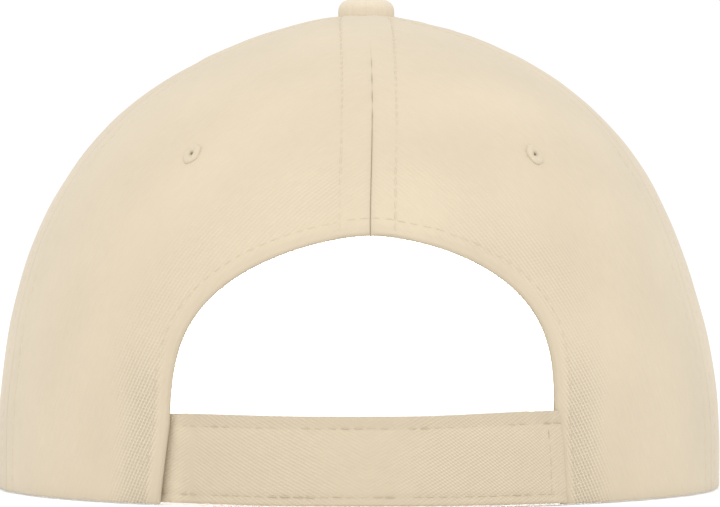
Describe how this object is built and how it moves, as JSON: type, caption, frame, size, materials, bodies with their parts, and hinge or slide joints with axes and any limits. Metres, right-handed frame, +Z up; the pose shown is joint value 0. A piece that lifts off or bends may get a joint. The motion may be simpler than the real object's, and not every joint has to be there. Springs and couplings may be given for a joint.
{
  "type": "baseball cap",
  "caption": "Soft twill cap with a curved visor, an arched rear opening, sewn eyelets, a covered button and a hook-and-loop strap that swings open and peels.",
  "frame": {"origin": "centre of the head opening, on the plane of the hem on which the cap rests", "axes": "+Z up through the button, -Y forward along the visor, +Y towards the rear opening, +X to the wearer's left"},
  "size_m": [0.176, 0.2785, 0.1192],
  "materials": {
    "twill": "matte cotton twill",
    "strap_twill": "matte cotton twill, two layers",
    "seam_tape": "matte woven cotton tape",
    "sweatband_cotton": "soft matte cotton",
    "padding_fleece": "soft matte non-woven",
    "stiffener_mesh": "stiff matte mesh",
    "eyelet_thread": "slightly shiny embroidery thread",
    "button_metal": "plain stamped metal",
    "board_plastic": "matte moulded sheet",
    "hook_nylon": "stiff nylon hooks",
    "loop_nylon": "brushed nylon loops"
  },
  "bodies": {
    "crown": {"front_panel": "twill", "side_panel_left": "twill", "side_panel_right": "twill", "back_panel_left": "twill", "back_panel_right": "twill", "button_cover": "twill", "visor_top_cover": "twill", "visor_under_cover": "twill", "hook_strap_root": "strap_twill", "loop_tab_root": "strap_twill", "center_back_tape": "seam_tape", "side_seam_tape_left": "seam_tape", "side_seam_tape_right": "seam_tape", "front_seam_tape_left": "seam_tape", "front_seam_tape_right": "seam_tape", "opening_facing": "seam_tape", "sweatband": "sweatband_cotton", "sweatband_padding": "padding_fleece", "front_stiffener": "stiffener_mesh", "eyelet_back_left": "eyelet_thread", "eyelet_back_right": "eyelet_thread", "eyelet_side_left": "eyelet_thread", "eyelet_side_right": "eyelet_thread", "button_shell": "button_metal", "button_rivet": "button_metal", "button_washer": "button_metal", "visor_board": "board_plastic"},
    "hook_strap": {"hook_strap": "strap_twill"},
    "strap_tip": {"hook_strap_tip": "strap_twill", "hook_tape": "hook_nylon"},
    "loop_tab": {"loop_tab": "strap_twill", "loop_tape": "loop_nylon"}
  },
  "joints": [
    {"name": "strap_swing", "type": "hinge", "parent": "crown", "child": "hook_strap", "pos_m": [0.0402, 0.0887, 0.01], "axis": [0, 0, -1], "range_deg": [0, 110]},
    {"name": "strap_peel", "type": "hinge", "parent": "hook_strap", "child": "strap_tip", "pos_m": [0, 0.1042, 0.01], "axis": [0, 0, -1], "range_deg": [0, 75]},
    {"name": "tab_swing", "type": "hinge", "parent": "crown", "child": "loop_tab", "pos_m": [-0.0401, 0.0871, 0.01], "axis": [0, 0, -1], "range_deg": [0, 40]}
  ]
}
